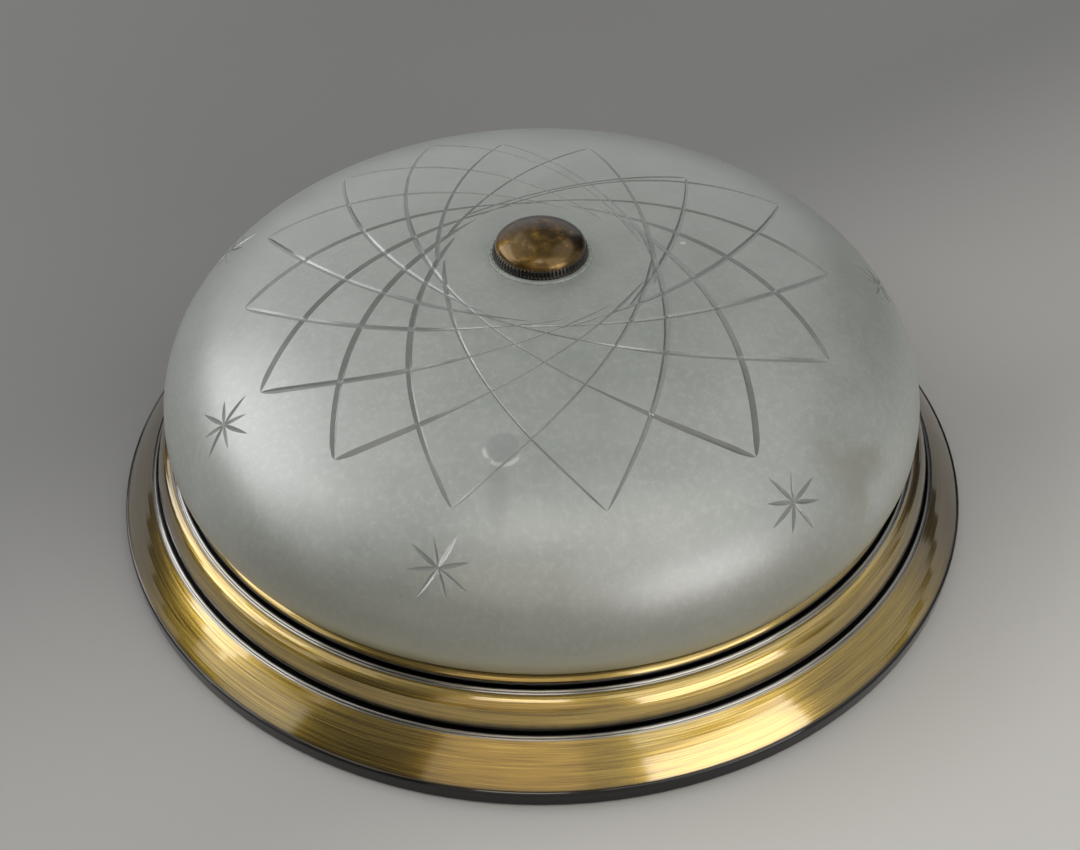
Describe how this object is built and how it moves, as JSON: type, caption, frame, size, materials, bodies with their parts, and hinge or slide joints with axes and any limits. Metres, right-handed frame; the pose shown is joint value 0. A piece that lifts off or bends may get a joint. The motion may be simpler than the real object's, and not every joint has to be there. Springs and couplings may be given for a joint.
{
  "type": "flush ceiling light",
  "caption": "Flush ceiling light: frosted glass dome with a cut rosette, held by a reeded knob in a stepped antique brass ring.",
  "frame": {"origin": "middle of the ring on the ceiling plane, at the foot of the part", "axes": "+Z from the ceiling through the knob, into the room; +Y along the slots of the ceiling bar"},
  "size_m": [0.35, 0.35, 0.1194],
  "materials": {
    "antique_brass": "antique brass, brushed round the ring, dark in the creases",
    "white_enamel": "white enamel",
    "rivet_aluminium": "plain",
    "frosted_glass": "satin frosted, clear in the cuts",
    "clear_silicone": "matt",
    "zinc_brass": "plain",
    "zinc_steel": "bright zinc",
    "dark_bronze": "mottled antique patina",
    "clear_plastic": "clear",
    "white_porcelain": "glazed",
    "nickel_brass": "nickelled",
    "contact_brass": "plain",
    "opal_glass": "opal",
    "cap_aluminium": "plain",
    "black_glass": "vitreous",
    "solder": "solder",
    "natural_plastic": "semi-matt",
    "brown_sleeve": "semi-matt",
    "blue_sleeve": "semi-matt",
    "green_sleeve": "semi-matt, yellow stripe",
    "tinned_copper": "tinned",
    "black_rubber": "matt"
  },
  "bodies": {
    "housing": {"trim_ring": "antique_brass", "base_pan": "white_enamel", "pan_rivets": "rivet_aluminium", "shade_pads": "clear_silicone", "centre_rod": "zinc_brass", "rod_nuts": "zinc_brass", "lock_washer": "zinc_steel", "bracket_1": "zinc_steel", "bracket_2": "zinc_steel", "bracket_screws": "zinc_steel", "holder_body_1": "white_porcelain", "holder_body_2": "white_porcelain", "holder_shell_1": "nickel_brass", "holder_shell_2": "nickel_brass", "holder_contact_1": "contact_brass", "holder_contact_2": "contact_brass", "holder_nipple_1": "zinc_brass", "holder_nipple_2": "zinc_brass", "holder_nuts": "zinc_brass", "terminal_block": "natural_plastic", "terminal_tubes": "contact_brass", "terminal_screws": "zinc_steel", "block_screws": "zinc_steel", "lead_live_1": "brown_sleeve", "lead_neutral_1": "blue_sleeve", "lead_live_2": "brown_sleeve", "lead_neutral_2": "blue_sleeve", "lead_earth": "green_sleeve", "earth_tag": "tinned_copper", "earth_screw": "contact_brass", "cable_grommet": "black_rubber", "ceiling_bar": "zinc_steel", "bar_screws": "contact_brass"},
    "shade": {"glass_shade": "frosted_glass"},
    "bush": {"knob_bush": "clear_plastic"},
    "knob": {"knob": "dark_bronze"},
    "bulb_1": {"bulb_glass_1": "opal_glass", "bulb_cap_1": "cap_aluminium", "bulb_insulator_1": "black_glass", "bulb_tip_1": "solder"},
    "bulb_2": {"bulb_glass_2": "opal_glass", "bulb_cap_2": "cap_aluminium", "bulb_insulator_2": "black_glass", "bulb_tip_2": "solder"}
  },
  "joints": [
    {"name": "shade_lift", "type": "slide", "parent": "housing", "child": "shade", "axis": [0, 0, 1], "range_m": [0, 0.12]},
    {"name": "knob_travel", "type": "slide", "parent": "shade", "child": "bush", "axis": [0, 0, 1], "range_m": [0, 0.006]},
    {"name": "knob_turn", "type": "hinge", "parent": "bush", "child": "knob", "pos_m": [0, 0, 0.1089], "axis": [0, 0, 1], "range_deg": [0, 2160]},
    {"name": "bulb_1_out", "type": "slide", "parent": "housing", "child": "bulb_1", "axis": [1, 0, 0], "range_m": [0, 0.028]},
    {"name": "bulb_2_out", "type": "slide", "parent": "housing", "child": "bulb_2", "axis": [-1, 0, 0], "range_m": [0, 0.028]}
  ],
  "couplings": [
    {"joint": "knob_travel", "follows": "knob_turn", "m_per_rad": 0.00015915}
  ]
}
